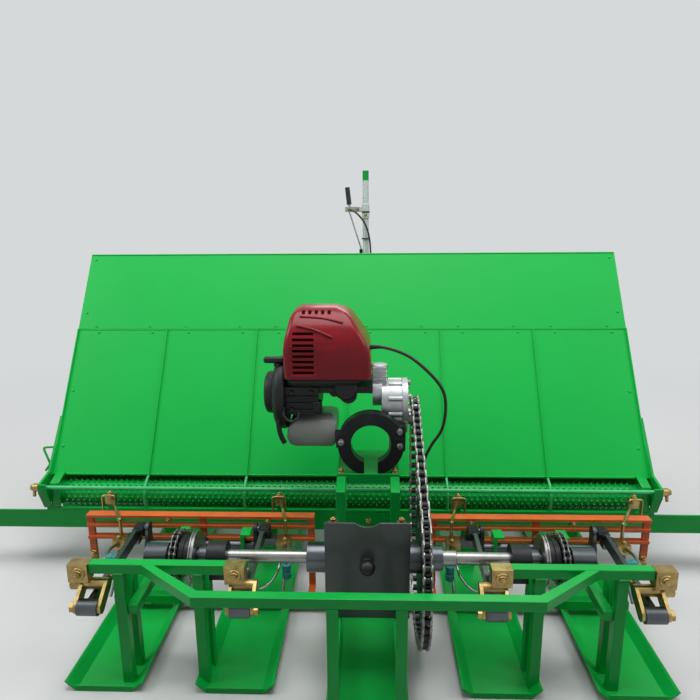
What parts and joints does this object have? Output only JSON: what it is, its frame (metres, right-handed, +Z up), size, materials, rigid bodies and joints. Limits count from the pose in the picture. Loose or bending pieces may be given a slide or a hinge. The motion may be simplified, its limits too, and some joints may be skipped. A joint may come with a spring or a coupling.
{
  "type": "walk behind rice transplanter",
  "caption": "Walk-behind rice transplanter: sledge floats, planting arms with cranks, chain drive from a small engine, and a sliding seedling tray with a spiked roller.",
  "frame": {"origin": "on the floor, under the middle of the box around the whole machine", "axes": "+X along the slide rail to the right, +Y from the planting bar to the hand mast, +Z up"},
  "size_m": [1.55, 1.37, 0.82],
  "materials": {
    "green_paint": "gloss enamel over welded steel",
    "zinc_plate": "yellow zinc plate",
    "bright_steel": "turned and ground steel",
    "dark_cast": "dark grey paint on castings",
    "black_plastic": "moulded, fine grain",
    "red_cover": "moulded, polished",
    "tank_plastic": "translucent blow moulding",
    "cast_aluminium": "die cast",
    "orange_paint": "orange enamel",
    "chain_steel": "oiled roller chain"
  },
  "bodies": {
    "frame": {"float_outer_left": "green_paint", "float_inner_left": "green_paint", "float_centre": "green_paint", "float_inner_right": "green_paint", "float_outer_right": "green_paint", "cross_tubes": "green_paint", "planter_bar": "green_paint", "beams": "green_paint", "planter_posts": "green_paint", "centre_posts": "green_paint", "gearbox_bearers": "green_paint", "crank_brackets": "green_paint", "rail": "green_paint", "rail_brackets": "green_paint", "engine_stand": "green_paint", "tray_guide": "green_paint", "drawbar": "green_paint", "gearbox": "dark_cast", "bearing_housings": "dark_cast", "timing_drive_left": "dark_cast", "timing_drive_right": "dark_cast", "drive_sprocket": "dark_cast", "cross_shaft_left": "bright_steel", "cross_shaft_right": "bright_steel", "crank_shafts": "bright_steel", "engine_sprocket": "bright_steel", "planting_arm_outer_left": "bright_steel", "planting_arm_inner_left": "bright_steel", "planting_arm_inner_right": "bright_steel", "planting_arm_outer_right": "bright_steel", "rocker_outer_left": "zinc_plate", "rocker_inner_left": "zinc_plate", "rocker_inner_right": "zinc_plate", "rocker_outer_right": "zinc_plate", "bar_guides": "zinc_plate", "hand_lever": "zinc_plate", "fence_left": "orange_paint", "fence_right": "orange_paint", "mount_ring": "black_plastic", "engine_block": "black_plastic", "recoil_starter": "black_plastic", "throttle_cable": "black_plastic", "engine_cover": "red_cover", "fuel_tank": "tank_plastic", "clutch_housing": "cast_aluminium", "drive_chain": "chain_steel"},
    "tray": {"tray_upper_panel": "green_paint", "tray_lower_panel": "green_paint", "tray_dividers": "green_paint", "tray_frame": "green_paint", "tray_sides": "green_paint", "tray_runner": "green_paint", "lane_rods": "green_paint", "tray_shoes": "green_paint", "slide_bar": "green_paint"},
    "roller": {"feed_roller": "green_paint"}
  },
  "joints": [
    {"name": "tray_slide", "type": "slide", "parent": "frame", "child": "tray", "axis": [1, 0, 0], "range_m": [-0.1, 0.19]},
    {"name": "roller_spin", "type": "hinge", "parent": "tray", "child": "roller", "pos_m": [-0.045, -0.253, 0.147], "axis": [1, 0, 0], "continuous": true}
  ]
}
